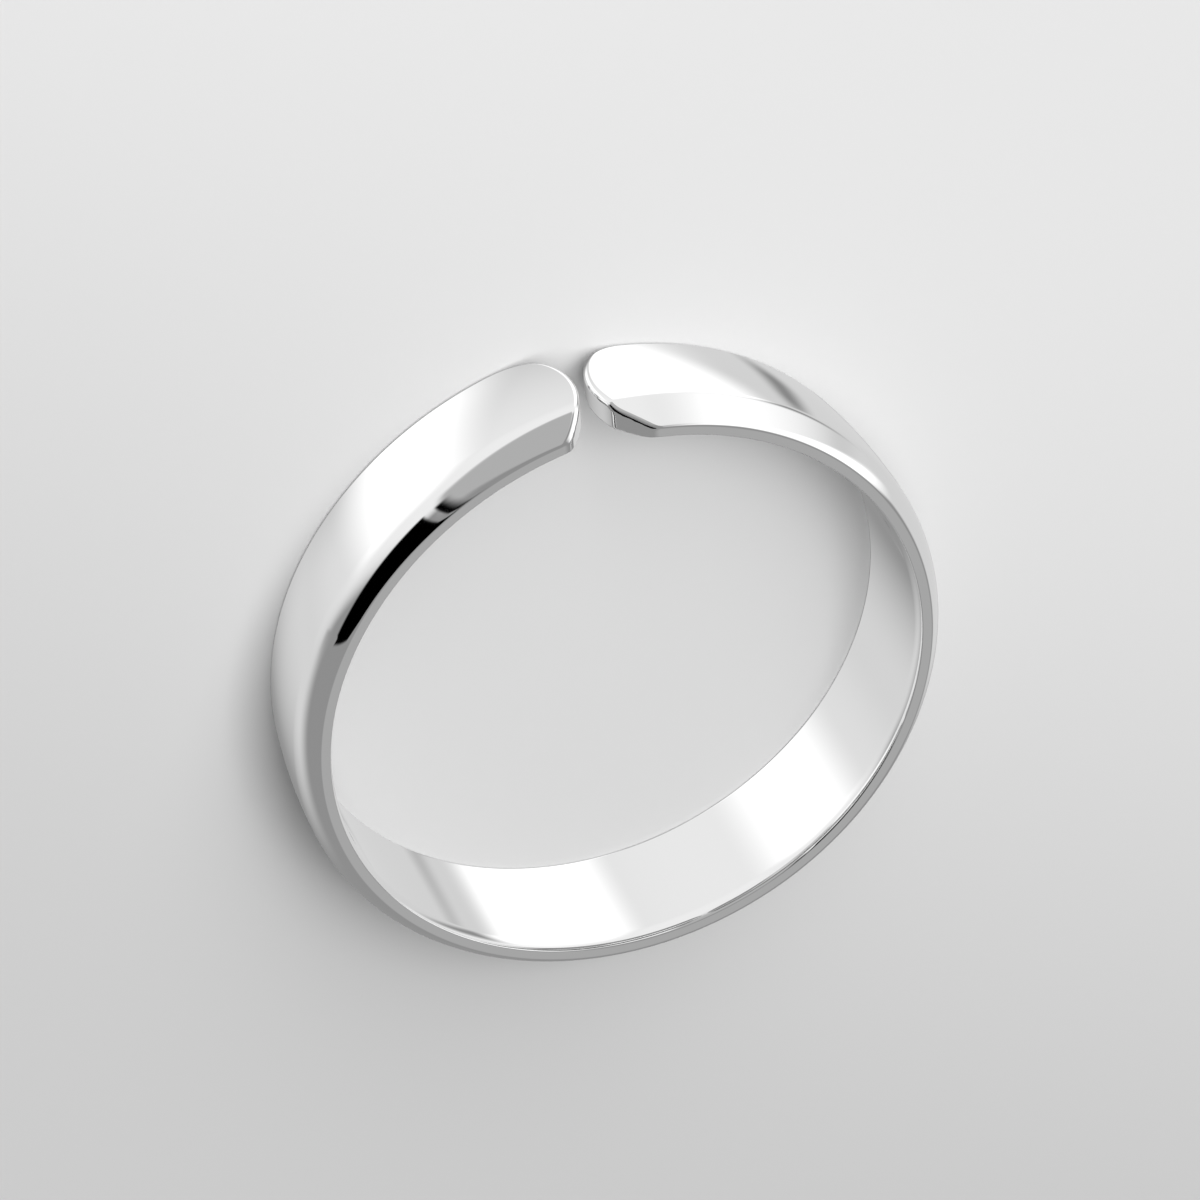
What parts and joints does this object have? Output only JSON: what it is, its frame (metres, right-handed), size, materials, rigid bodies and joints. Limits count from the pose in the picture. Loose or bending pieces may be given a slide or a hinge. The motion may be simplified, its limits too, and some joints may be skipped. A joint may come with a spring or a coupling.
{
  "type": "open cuff ring",
  "caption": "Open cuff finger ring in polished silver: a domed band whose rounded ends almost meet, with a flat front rim and a bevel that runs out from each end.",
  "frame": {"origin": "on the finger hole's axis, in the plane of the back face that the ring rests on", "axes": "+Z along the finger hole's axis from the back face to the flat front rim, +Y from the axis to the gap between the two ends, +X to the right of the gap seen from the front face"},
  "size_m": [0.0192, 0.0195, 0.004],
  "materials": {
    "silver": "mirror-polished sterling silver with a bright rhodium plate"
  },
  "bodies": {
    "root": {"band": "silver"}
  },
  "joints": []
}
